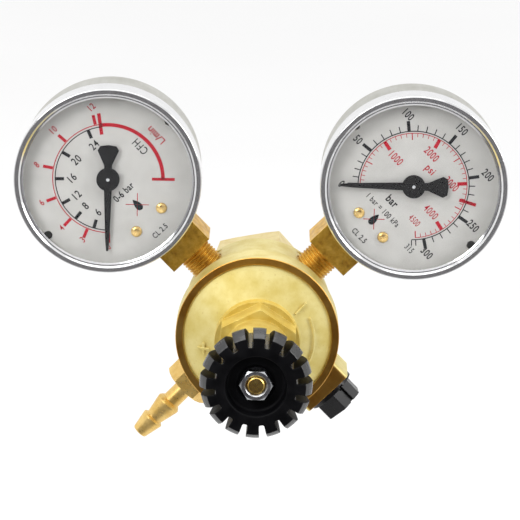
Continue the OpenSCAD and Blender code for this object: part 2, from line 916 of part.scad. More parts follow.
// Socket: screwed stem, square for the wrench and the head inside the case.
module gauge_socket() {
    half = stem_w / 2;
    head_back = case_wall - case_back + 0.05;
    color(BRASS)
        difference() {
            union() {
                translate([-half, -stem_out, -half])
                    cube([stem_w, stem_out - 23, stem_w]);
                intersection() {
                    translate([-half, -24, head_back])
                        cube([stem_w, 11, 5 - head_back]);
                    rotate_extrude()
                        cup_section(case_r - case_wall - 0.05, head_back, 6, 6.7);
                }
                for (x = [-4.75, 4.75])
                    translate([x, -15.9, 0])
                        cylinder(r = 1.8, h = dial_z - dial_t - 0.02);
                rotate([90, 0, 0])
                    thread_bar(gauge_thread_r - 0.5, gauge_thread_r, stem_out, stem_end, 0.907);
            }
            rotate([90, 0, 0])
                translate([0, 0, 18])
                    cylinder(r = 1.5, h = 30);
            for (x = [-4.75, 4.75])
                translate([x, -15.9, dial_z - 4])
                    cylinder(r = 0.9, h = 5);
            rotate([0, 0, 246])
                rotate_extrude(angle = 10)
                    translate([0.02, 0])
                        tube_section(-0.05);
            for (x = [-4, 4])
                translate([x, -case_screw_at, head_back - 1])
                    cylinder(r = 1, h = 7.5);
        }
}

// Copper washer at the bottom of the gauge's port.
module gauge_stem_washer() {
    color([0.72, 0.43, 0.27])
        rotate([90, 0, 0])
            ring(2, 4.5, stem_end + 0.05, stem_end + 0.95);
}

// Screws that hold the case to the socket's head.
module gauge_case_screws() {
    color(STEEL)
        for (x = [-4, 4])
            translate([x, -case_screw_at, -case_back])
                difference() {
                    union() {
                        translate([0, 0, -1.2])
                            cylinder(r1 = 1.7, r2 = 2.1, h = 1.15);
                        translate([0, 0, -0.1])
                            cylinder(r = 0.95, h = 7);
                    }
                    translate([-3, -0.3, -1.5])
                        cube([6, 0.6, 0.8]);
                }
}

body();
bonnet();
slip_ring();
diaphragm();
diaphragm_plate();
range_spring();
spring_button();
adjusting_screw();
adjusting_knob();
knob_washer();
knob_nut();
valve_seat();
push_pin();
poppet();
poppet_pad();
poppet_spring();
inlet_nipple();
inlet_filter();
inlet_seal();
inlet_nut();
hose_barb();
hose_barb_seal();
relief_cap();
relief_spring();
relief_poppet();
relief_seal();
for (s = SIDES) {
    gauge_at(s) gauge_case();
    gauge_at(s) gauge_bezel();
    gauge_at(s) gauge_window();
    gauge_at(s) gauge_dial();
    gauge_at(s) gauge_dial_screws();
    gauge_at(s) gauge_pointer();
    gauge_at(s) gauge_pinion();
    gauge_at(s) gauge_sector_gear();
    gauge_at(s) gauge_link();
    gauge_at(s) gauge_movement_plates();
    gauge_at(s) gauge_hairspring();
    gauge_at(s) gauge_bourdon_tube();
    gauge_at(s) gauge_socket();
    gauge_at(s) gauge_stem_washer();
    gauge_at(s) gauge_case_screws();
}
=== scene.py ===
"""Looks of the gas regulator: finishes, dial printing, cast marks, studio and camera."""
import json
import math

import bmesh
import bpy
from mathutils import Matrix, Vector


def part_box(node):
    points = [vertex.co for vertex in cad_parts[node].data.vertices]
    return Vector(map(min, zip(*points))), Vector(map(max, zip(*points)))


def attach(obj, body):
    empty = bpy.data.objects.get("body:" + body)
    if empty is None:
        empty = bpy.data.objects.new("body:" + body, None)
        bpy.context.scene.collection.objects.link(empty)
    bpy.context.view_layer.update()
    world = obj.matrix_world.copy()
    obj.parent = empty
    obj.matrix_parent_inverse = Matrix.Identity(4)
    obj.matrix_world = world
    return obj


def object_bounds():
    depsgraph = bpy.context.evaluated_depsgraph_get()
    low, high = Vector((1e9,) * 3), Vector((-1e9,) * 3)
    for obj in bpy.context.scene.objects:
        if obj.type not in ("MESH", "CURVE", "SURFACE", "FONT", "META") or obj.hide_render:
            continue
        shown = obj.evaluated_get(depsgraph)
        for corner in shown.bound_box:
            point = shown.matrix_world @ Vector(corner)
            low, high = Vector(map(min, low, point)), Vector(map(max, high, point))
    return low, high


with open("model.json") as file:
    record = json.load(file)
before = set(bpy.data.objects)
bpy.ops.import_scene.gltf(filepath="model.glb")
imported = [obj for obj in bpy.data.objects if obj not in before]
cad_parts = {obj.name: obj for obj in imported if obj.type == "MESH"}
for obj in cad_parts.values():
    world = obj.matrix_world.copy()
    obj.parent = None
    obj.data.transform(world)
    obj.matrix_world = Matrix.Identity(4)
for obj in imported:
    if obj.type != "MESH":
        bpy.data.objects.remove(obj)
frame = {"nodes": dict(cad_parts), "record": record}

cad_low, cad_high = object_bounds()

MM = 0.001
NODES = frame["nodes"]


def middle(node):
    """Centre of a CAD node's box."""
    low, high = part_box(node)
    return (low + high) / 2


RIM_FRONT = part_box("body")[0].y
FLOOR_DROP = 0.2

# ---------------------------------------------------------------- camera

CAMERA_PITCH = math.radians(14)
CAMERA_ROLL = math.radians(1.35)
CAMERA_REACH = 0.846
CAMERA_RISE = 0.02107
CAMERA_ASIDE = 0.00026
LENS_MM = 214.75


def make_camera():
    """A long lens in front of the knob, a little above it, level with the gauges' faces."""
    data = bpy.data.cameras.new("camera")
    data.lens = LENS_MM
    data.sensor_width = 36
    data.clip_start = 0.05
    data.clip_end = 50
    camera = bpy.data.objects.new("camera", data)
    bpy.context.scene.collection.objects.link(camera)
    ahead = Vector((0, math.cos(CAMERA_PITCH), -math.sin(CAMERA_PITCH)))
    up = Vector((0, math.sin(CAMERA_PITCH), math.cos(CAMERA_PITCH)))
    rim = Vector((CAMERA_ASIDE, RIM_FRONT, 0))
    camera.location = rim - CAMERA_REACH * ahead + CAMERA_RISE * up
    turn = Matrix.Rotation(math.radians(90) - CAMERA_PITCH, 4, "X")
    roll = Matrix.Rotation(CAMERA_ROLL, 4, "Z")
    camera.rotation_euler = (turn @ roll).to_euler()
    bpy.context.scene.camera = camera


# ---------------------------------------------------------------- studio

def make_area_light(name, at, aim, size, power):
    """A rectangular soft box at one point, turned towards another."""
    data = bpy.data.lights.new(name, "AREA")
    data.shape = "RECTANGLE"
    data.size, data.size_y = size
    data.energy = power
    lamp = bpy.data.objects.new(name, data)
    bpy.context.scene.collection.objects.link(lamp)
    lamp.location = at
    lamp.rotation_euler = (Vector(aim) - Vector(at)).to_track_quat("-Z", "Y").to_euler()


ROOM_WHITE = (1.0, 1.0, 1.0)
ROOM_DARK = (0.085, 0.08, 0.085)


def make_world():
    """White room, dark low down in front, behind the camera."""
    world = bpy.data.worlds.new("studio")
    bpy.context.scene.world = world
    world.use_nodes = True
    tree = world.node_tree
    tree.nodes.clear()
    out = tree.nodes.new("ShaderNodeOutputWorld")
    background = tree.nodes.new("ShaderNodeBackground")
    coords = tree.nodes.new("ShaderNodeTexCoord")
    split = tree.nodes.new("ShaderNodeSeparateXYZ")
    tree.links.new(coords.outputs["Generated"], split.inputs[0])
    front = map_value(tree, split.outputs["Y"], (-0.2, -0.75), (0, 1))
    low = map_value(tree, split.outputs["Z"], (0.55, 0.2), (0, 1))
    dark = math_node(tree, "MULTIPLY", front, low)
    tree.links.new(mix_colors(tree, dark, ROOM_WHITE, ROOM_DARK), background.inputs["Color"])
    tree.links.new(background.outputs[0], out.inputs["Surface"])
    background.inputs["Strength"].default_value = 1.0


def make_floor():
    """Plain pale floor, well below the part, which is held by its inlet."""
    mesh = bpy.data.meshes.new("floor")
    half = 12
    height = cad_low.z - FLOOR_DROP
    corners = [(-half, -half, height), (half, -half, height), (half, half, height), (-half, half, height)]
    mesh.from_pydata(corners, [], [(0, 1, 2, 3)])
    floor = bpy.data.objects.new("floor", mesh)
    bpy.context.scene.collection.objects.link(floor)
    floor.data.materials.append(make_floor_paint())
    floor.visible_glossy = False


def make_floor_paint():
    """Matte near-white paint with the faintest mottling."""
    tree, shader = new_material("floor_paint", roughness=0.8)
    noise = add_noise(tree, None, 3.0, detail=2)
    ramp = add_ramp(tree, noise, [(0.3, (0.97, 0.97, 0.97)), (0.7, (0.99, 0.99, 0.99))])
    tree.links.new(ramp, shader.inputs["Base Color"])
    return tree_material(tree)


# ---------------------------------------------------------------- node helpers

MATERIAL_OF_TREE = {}
SOCKET_OF = {
    "roughness": "Roughness", "metallic": "Metallic", "color": "Base Color", "ior": "IOR",
    "transmission": "Transmission Weight", "specular": "Specular IOR Level",
}


def new_material(name, **settings):
    """A material with one Principled shader, whose plain values are set on its own sockets."""
    material = bpy.data.materials.new(name)
    material.use_nodes = True
    tree = material.node_tree
    shader = tree.nodes["Principled BSDF"]
    for key, value in settings.items():
        shader.inputs[SOCKET_OF[key]].default_value = (*value, 1) if key == "color" else value
    MATERIAL_OF_TREE[tree] = material
    return tree, shader


def tree_material(tree):
    return MATERIAL_OF_TREE[tree]


def map_value(tree, socket, source, target):
    """Socket of a value mapped smoothly from one range to another, clamped."""
    node = tree.nodes.new("ShaderNodeMapRange")
    node.interpolation_type = "SMOOTHSTEP"
    node.inputs["From Min"].default_value, node.inputs["From Max"].default_value = source
    node.inputs["To Min"].default_value, node.inputs["To Max"].default_value = target
    tree.links.new(socket, node.inputs["Value"])
    return node.outputs[0]


def add_coords(tree, scale=(1, 1, 1)):
    """Object coordinates, stretched by a scale along each axis."""
    coords = tree.nodes.new("ShaderNodeTexCoord")
    mapping = tree.nodes.new("ShaderNodeMapping")
    mapping.inputs["Scale"].default_value = scale
    tree.links.new(coords.outputs["Object"], mapping.inputs["Vector"])
    return mapping.outputs[0]


def add_noise(tree, vector, scale, detail=4, rough=0.55):
    """Noise value socket; scale is in waves per metre."""
    noise = tree.nodes.new("ShaderNodeTexNoise")
    noise.inputs["Scale"].default_value = scale
    noise.inputs["Detail"].default_value = detail
    noise.inputs["Roughness"].default_value = rough
    tree.links.new(vector or add_coords(tree), noise.inputs["Vector"])
    return noise.outputs["Fac"]


def add_ramp(tree, value, stops):
    """Colour ramp output socket for a value socket."""
    ramp = tree.nodes.new("ShaderNodeValToRGB")
    elements = ramp.color_ramp.elements
    while len(elements) < len(stops):
        elements.new(0.5)
    for element, (at, color) in zip(elements, stops):
        element.position = at
        element.color = (*color, 1)
    tree.links.new(value, ramp.inputs["Fac"])
    return ramp.outputs["Color"]


def mix_colors(tree, factor, a, b):
    """Colour mix by a factor socket; a and b are sockets or colours."""
    mix = tree.nodes.new("ShaderNodeMix")
    mix.data_type = "RGBA"
    tree.links.new(factor, mix.inputs["Factor"])
    for key, value in (("A", a), ("B", b)):
        if isinstance(value, tuple):
            mix.inputs[key].default_value = (*value, 1)
        else:
            tree.links.new(value, mix.inputs[key])
    return mix.outputs["Result"]


def math_node(tree, operation, *values):
    node = tree.nodes.new("ShaderNodeMath")
    node.operation = operation
    for i, value in enumerate(values):
        if isinstance(value, (int, float)):
            node.inputs[i].default_value = value
        else:
            tree.links.new(value, node.inputs[i])
    return node.outputs[0]


def add_bumps(tree, shader, heights, edge_mm=0.0):
    """Chained bumps of (height socket, strength, depth in mm), over rounded edges."""
    normal = None
    if edge_mm:
        bevel = tree.nodes.new("ShaderNodeBevel")
        bevel.samples = 6
        bevel.inputs["Radius"].default_value = edge_mm * MM
        normal = bevel.outputs[0]
    for height, strength, depth in heights:
        bump = tree.nodes.new("ShaderNodeBump")
        bump.inputs["Strength"].default_value = strength
        bump.inputs["Distance"].default_value = depth * MM
        tree.links.new(height, bump.inputs["Height"])
        if normal is not None:
            tree.links.new(normal, bump.inputs["Normal"])
        normal = bump.outputs[0]
    if normal is not None:
        tree.links.new(normal, shader.inputs["Normal"])


def split_coords(tree):
    """Sockets of the object coordinates' X, Y and Z, in metres."""
    coords = tree.nodes.new("ShaderNodeTexCoord")
    split = tree.nodes.new("ShaderNodeSeparateXYZ")
    tree.links.new(coords.outputs["Object"], split.inputs[0])
    return split.outputs["X"], split.outputs["Y"], split.outputs["Z"]


def split_normal(tree):
    """Sockets of the surface normal's X, Y and Z in the object's own frame."""
    coords = tree.nodes.new("ShaderNodeTexCoord")
    split = tree.nodes.new("ShaderNodeSeparateXYZ")
    tree.links.new(coords.outputs["Normal"], split.inputs[0])
    return split.outputs["X"], split.outputs["Y"], split.outputs["Z"]


# ---------------------------------------------------------------- finishes

BRASS_LIGHT = (0.9, 0.64, 0.2)
BRASS_DEEP = (0.8, 0.5, 0.12)
CAST_LIGHT = (0.78, 0.68, 0.29)
CAST_DEEP = (0.66, 0.53, 0.15)
CAST_PIT = (0.55, 0.38, 0.12)
# Machined rim and boss colours, darker and redder than the bar brass: partly the real turned finish, partly
# painted shade for the dark front faces.
RIM_LIGHT = (0.92, 0.54, 0.13)
RIM_DEEP = (0.68, 0.32, 0.05)


def add_cast_color(tree):
    """Blasted brass colour: slow changes of tone with a few darker pits."""
    tone = add_noise(tree, None, 170, detail=4)
    pits = map_value(tree, add_noise(tree, None, 1500, detail=2), (0.64, 0.74), (0, 0.4))
    color = add_ramp(tree, tone, [(0.32, CAST_DEEP), (0.62, CAST_LIGHT)])
    return mix_colors(tree, pits, color, CAST_PIT)


def cast_brass():
    """Forged brass, sand-blasted to a pale matte skin."""
    tree, shader = new_material("cast_brass_blasted", metallic=0.45)
    grain = add_noise(tree, None, 2600, detail=5, rough=0.65)
    tree.links.new(add_cast_color(tree), shader.inputs["Base Color"])
    tree.links.new(map_value(tree, grain, (0.3, 0.7), (0.42, 0.6)), shader.inputs["Roughness"])
    lumps = add_noise(tree, None, 330, detail=3)
    add_bumps(tree, shader, [(lumps, 0.3, 0.12), (grain, 0.5, 0.04)], edge_mm=0.2)
    return tree_material(tree)


def body_brass():
    """Blasted body, machined smooth on the front of the rim and of the relief boss, where the colour is also
    darker and redder: partly the real turned finish, partly painted shade for how dark these front faces
    look.
    """
    tree, shader = new_material("body_brass")
    across, along, up = split_coords(tree)
    skin_back, skin_front = RIM_FRONT + 0.32 * MM, RIM_FRONT + 0.1 * MM
    rim = map_value(tree, along, (skin_back, skin_front), (0, 1))
    outward = math_node(tree, "SUBTRACT", across, up)
    # The relief boss takes the darker machined colour only on faces turned to the front, which is partly
    # painted shade.
    _, ahead, _ = split_normal(tree)
    boss = math_node(tree, "MULTIPLY", map_value(tree, outward, (29 * MM, 30 * MM), (0, 1)),
                     map_value(tree, ahead, (-0.8, -0.95), (0, 1)))
    machined_shaded_front = math_node(tree, "MAXIMUM", rim, boss)
    tone = add_noise(tree, None, 130, detail=3)
    grain = add_noise(tree, None, 2600, detail=5, rough=0.65)
    # Darker machined colour on the rim and boss fronts: real turned finish, with painted shade in how dark
    # it is.
    turned = add_ramp(tree, tone, [(0.35, RIM_DEEP), (0.65, RIM_LIGHT)])
    tree.links.new(mix_colors(tree, machined_shaded_front, add_cast_color(tree), turned), shader.inputs["Base Color"])
    tree.links.new(map_value(tree, machined_shaded_front, (0, 1), (0.45, 1.0)), shader.inputs["Metallic"])
    blasted = math_node(tree, "SUBTRACT", 1.0, machined_shaded_front)
    rough = math_node(tree, "MULTIPLY", map_value(tree, grain, (0.3, 0.7), (0.08, 0.24)), blasted)
    tree.links.new(math_node(tree, "ADD", rough, 0.34), shader.inputs["Roughness"])
    lumps = math_node(tree, "MULTIPLY", add_noise(tree, None, 330, detail=3), blasted)
    pits = math_node(tree, "MULTIPLY", grain, blasted)
    add_bumps(tree, shader, [(lumps, 0.3, 0.12), (pits, 0.5, 0.04)], edge_mm=0.2)
    return tree_material(tree)


def bonnet_brass():
    """Blasted cone and bright turned hexagon and tower, parted where the cone ends."""
    tree, shader = new_material("bonnet_brass")
    _, along, _ = split_coords(tree)
    cone_end, boss_start = RIM_FRONT - 2.9 * MM, RIM_FRONT - 3.3 * MM
    turned = map_value(tree, along, (cone_end, boss_start), (0, 1))
    tone = add_noise(tree, None, 260, detail=4)
    grain = add_noise(tree, None, 2600, detail=5, rough=0.65)
    bright = add_ramp(tree, tone, [(0.3, (0.7, 0.5, 0.09)), (0.65, (0.82, 0.66, 0.21))])
    tree.links.new(mix_colors(tree, turned, add_cast_color(tree), bright), shader.inputs["Base Color"])
    tree.links.new(map_value(tree, turned, (0, 1), (0.45, 0.65)), shader.inputs["Metallic"])
    rough = map_value(tree, grain, (0.3, 0.7), (0.45, 0.62))
    rough = math_node(tree, "SUBTRACT", rough, math_node(tree, "MULTIPLY", turned, 0.16))
    tree.links.new(rough, shader.inputs["Roughness"])
    blasted = math_node(tree, "SUBTRACT", 1.0, math_node(tree, "MULTIPLY", turned, 0.8))
    lumps = math_node(tree, "MULTIPLY", add_noise(tree, None, 330, detail=3), blasted)
    pits = math_node(tree, "MULTIPLY", grain, blasted)
    add_bumps(tree, shader, [(lumps, 0.3, 0.1), (pits, 0.5, 0.04)], edge_mm=0.2)
    return tree_material(tree)


def turned_brass(name="turned_brass", light=BRASS_LIGHT, deep=BRASS_DEEP, rough=0.22, metallic=1.0):
    """Bar brass with fine tool marks."""
    tree, shader = new_material(name, metallic=metallic)
    tone = add_noise(tree, None, 260, detail=4)
    marks = add_noise(tree, None, 900, detail=6, rough=0.6)
    sheen = map_value(tree, marks, (0.3, 0.7), (rough - 0.05, rough + 0.12))
    tree.links.new(add_ramp(tree, tone, [(0.32, deep), (0.62, light)]), shader.inputs["Base Color"])
    tree.links.new(sheen, shader.inputs["Roughness"])
    add_bumps(tree, shader, [(marks, 0.3, 0.02)], edge_mm=0.15)
    return tree_material(tree)


def stem_brass():
    """Drawn square brass of the gauge stems: dull golden brown with handling stains."""
    tree, shader = new_material("stem_brass", metallic=0.8)
    drawn = add_noise(tree, add_coords(tree, (1, 0.2, 1)), 700, detail=5)
    stain = add_noise(tree, None, 380, detail=5, rough=0.7)
    stops = [(0.3, (0.42, 0.2, 0.03)), (0.48, (0.68, 0.4, 0.06)), (0.7, (0.86, 0.56, 0.12))]
    tree.links.new(add_ramp(tree, stain, stops), shader.inputs["Base Color"])
    tree.links.new(map_value(tree, drawn, (0.3, 0.7), (0.34, 0.5)), shader.inputs["Roughness"])
    add_bumps(tree, shader, [(stain, 0.15, 0.08), (drawn, 0.35, 0.03)], edge_mm=0.25)
    return tree_material(tree)


def plated_steel(name="zinc_plate", color=(0.7, 0.72, 0.74), rough=0.26):
    """Bright zinc with a slight cloudiness."""
    tree, shader = new_material(name, metallic=1.0)
    cloud = add_noise(tree, None, 900, detail=4)
    dark = tuple(0.82 * c for c in color)
    tree.links.new(add_ramp(tree, cloud, [(0.3, dark), (0.7, color)]), shader.inputs["Base Color"])
    sheen = map_value(tree, cloud, (0.3, 0.7), (rough - 0.06, rough + 0.08))
    tree.links.new(sheen, shader.inputs["Roughness"])
    add_bumps(tree, shader, [(cloud, 0.15, 0.01)], edge_mm=0.12)
    return tree_material(tree)


def chrome():
    """Bright nickel-chrome on the pressed bezel, with faint waviness and polishing haze."""
    tree, shader = new_material("chrome_plate", metallic=0.88)
    haze = add_noise(tree, None, 350, detail=3)
    tree.links.new(add_ramp(tree, haze, [(0.3, (0.7, 0.7, 0.71)), (0.7, (0.78, 0.78, 0.79))]),
                   shader.inputs["Base Color"])
    tree.links.new(map_value(tree, haze, (0.3, 0.7), (0.1, 0.17)), shader.inputs["Roughness"])
    add_bumps(tree, shader, [(haze, 0.08, 0.1)], edge_mm=0.06)
    return tree_material(tree)


def case_nickel():
    """Satin nickel on the drawn case: soft, slightly warm, with drawing marks round it."""
    tree, shader = new_material("satin_nickel", metallic=0.85)
    drawn = add_noise(tree, add_coords(tree, (1, 0.15, 1)), 500, detail=4)
    haze = add_noise(tree, None, 90, detail=3)
    tree.links.new(add_ramp(tree, haze, [(0.3, (0.42, 0.415, 0.37)), (0.7, (0.53, 0.525, 0.485))]),
                   shader.inputs["Base Color"])
    tree.links.new(map_value(tree, drawn, (0.3, 0.7), (0.3, 0.42)), shader.inputs["Roughness"])
    add_bumps(tree, shader, [(drawn, 0.12, 0.03)])
    return tree_material(tree)


def black_plastic():
    """Moulded glass-filled nylon: satin black with a fine skin."""
    tree, shader = new_material("black_nylon", specular=0.4)
    skin = add_noise(tree, None, 1800, detail=4)
    cloud = add_noise(tree, None, 220, detail=3)
    tree.links.new(add_ramp(tree, cloud, [(0.3, (0.002, 0.002, 0.0025)), (0.7, (0.005, 0.005, 0.0065))]),
                   shader.inputs["Base Color"])
    tree.links.new(map_value(tree, cloud, (0.3, 0.7), (0.24, 0.36)), shader.inputs["Roughness"])
    add_bumps(tree, shader, [(skin, 0.15, 0.02)], edge_mm=0.3)
    return tree_material(tree)


def knob_plastic():
    """The same nylon on the knob: glossy where it faces outwards, dull on its face and between lugs."""
    tree, shader = new_material("knob_nylon")
    skin = add_noise(tree, None, 1800, detail=4)
    cloud = add_noise(tree, None, 220, detail=3)
    tree.links.new(add_ramp(tree, cloud, [(0.3, (0.001, 0.001, 0.0015)), (0.7, (0.004, 0.004, 0.005))]),
                   shader.inputs["Base Color"])
    across, _, up = split_coords(tree)
    normal_across, _, normal_up = split_normal(tree)
    square = math_node(tree, "ADD", math_node(tree, "MULTIPLY", across, across),
                       math_node(tree, "MULTIPLY", up, up))
    outward = math_node(tree, "ADD", math_node(tree, "MULTIPLY", across, normal_across),
                        math_node(tree, "MULTIPLY", up, normal_up))
    outward = math_node(tree, "DIVIDE", outward, math_node(tree, "POWER", square, 0.5))
    worn = map_value(tree, outward, (0.3, 0.75), (0, 1))
    tree.links.new(map_value(tree, worn, (0, 1), (0.12, 1.0)), shader.inputs["Specular IOR Level"])
    rough = map_value(tree, cloud, (0.3, 0.7), (0.45, 0.55))
    tree.links.new(math_node(tree, "SUBTRACT", rough, math_node(tree, "MULTIPLY", worn, 0.22)),
                   shader.inputs["Roughness"])
    add_bumps(tree, shader, [(skin, 0.15, 0.02)], edge_mm=0.6)
    return tree_material(tree)


def matte(name, dark, light, scale, rough, depth):
    """Dull finish with mottled tone: rubber, plastic pads, sintered bronze."""
    tree, shader = new_material(name, roughness=rough)
    mottle = add_noise(tree, None, scale, detail=4)
    tree.links.new(add_ramp(tree, mottle, [(0.3, dark), (0.7, light)]), shader.inputs["Base Color"])
    add_bumps(tree, shader, [(mottle, 0.3, depth)])
    return tree_material(tree)


def dial_paint():
    """Light grey enamel on sheet metal, barely mottled."""
    tree, shader = new_material("dial_enamel", roughness=0.6, specular=0.25)
    mottle = add_noise(tree, None, 160, detail=2)
    tree.links.new(add_ramp(tree, mottle, [(0.3, (0.48, 0.475, 0.455)), (0.7, (0.54, 0.535, 0.515))]),
                   shader.inputs["Base Color"])
    add_bumps(tree, shader, [(add_noise(tree, None, 2500, detail=2), 0.05, 0.01)])
    return tree_material(tree)


def pointer_paint():
    """Satin black paint on the pointer."""
    tree, shader = new_material("pointer_paint", specular=0.05)
    mottle = add_noise(tree, None, 900, detail=3)
    tree.links.new(add_ramp(tree, mottle, [(0.3, (0.001, 0.001, 0.0015)), (0.7, (0.003, 0.003, 0.0045))]),
                   shader.inputs["Base Color"])
    tree.links.new(map_value(tree, mottle, (0.3, 0.7), (0.5, 0.6)), shader.inputs["Roughness"])
    add_bumps(tree, shader, [(mottle, 0.1, 0.01)], edge_mm=0.1)
    return tree_material(tree)


def ink(name, dark, light):
    """Printing ink, slightly uneven."""
    tree, shader = new_material(name, roughness=0.8, specular=0.05)
    mottle = add_noise(tree, None, 1200, detail=3)
    tree.links.new(add_ramp(tree, mottle, [(0.35, dark), (0.65, light)]), shader.inputs["Base Color"])
    return tree_material(tree)


def window_glass():
    """Clear window that lets lamps through to the dial."""
    tree, shader = new_material("window_glass", transmission=1.0, ior=1.45, specular=0.2, color=(1, 1, 1))
    smear = add_noise(tree, None, 60, detail=2)
    tree.links.new(map_value(tree, smear, (0.3, 0.7), (0.0, 0.012)), shader.inputs["Roughness"])
    clear = tree.nodes.new("ShaderNodeBsdfTransparent")
    path = tree.nodes.new("ShaderNodeLightPath")
    mix = tree.nodes.new("ShaderNodeMixShader")
    out = tree.nodes["Material Output"]
    tree.links.new(path.outputs["Is Shadow Ray"], mix.inputs["Fac"])
    tree.links.new(shader.outputs[0], mix.inputs[1])
    tree.links.new(clear.outputs[0], mix.inputs[2])
    tree.links.new(mix.outputs[0], out.inputs["Surface"])
    return tree_material(tree)


def paint_nodes():
    """Gives every CAD node its finish."""
    steel = plated_steel()
    plain = {
        "cast_brass": cast_brass(), "turned_brass": turned_brass(), "plated_steel": steel,
        "rubber": matte("rubber", (0.01, 0.01, 0.01), (0.02, 0.02, 0.02), 900, 0.7, 0.03),
        "black_plastic": black_plastic(),
        "white_plastic": matte("nylon_white", (0.68, 0.66, 0.6), (0.76, 0.74, 0.69), 700, 0.5, 0.02),
        "sintered_bronze": matte("sintered_bronze", (0.2, 0.12, 0.05), (0.5, 0.34, 0.16), 3500, 0.65, 0.1),
        "copper": turned_brass("copper", (0.85, 0.42, 0.25), (0.7, 0.3, 0.16), rough=0.3),
        "chrome": chrome(), "window": window_glass(), "dial_white": dial_paint(),
        "pointer_black": pointer_paint(),
        "movement_brass": turned_brass("movement_brass", (0.86, 0.62, 0.24), (0.74, 0.48, 0.16), rough=0.25),
    }
    slot_of = {part["node"]: part["material_slot"] for part in frame["record"]["subparts"]}
    stems, cases = stem_brass(), case_nickel()
    oxide = plated_steel("black_oxide", (0.03, 0.03, 0.032), 0.4)
    hose = turned_brass("hose_brass", (0.88, 0.62, 0.22), (0.74, 0.47, 0.12), rough=0.3, metallic=0.75)
    nut = turned_brass("nut_brass", (0.84, 0.7, 0.33), (0.74, 0.57, 0.2), rough=0.36, metallic=0.75)
    special = {"body": body_brass(), "bonnet": bonnet_brass(), "inlet_nut": nut, "hose_barb": hose,
               "adjusting_knob": knob_plastic(), "knob_washer": oxide,
               "left_socket": stems, "right_socket": stems, "left_case": cases, "right_case": cases,
               "left_pinion": steel, "right_pinion": steel}
    for name, node in NODES.items():
        finish = special.get(name) or plain[slot_of[name]]
        node.data.materials.clear()
        node.data.materials.append(finish)


# ---------------------------------------------------------------- printing on the dials

# Millimetres on the dial: the ink's clearance and its thickness.
INK_LIFT = 0.012
INK_THICK = 0.02
LETTER_SQUEEZE = 0.78
LETTER_SPACING = 1.12


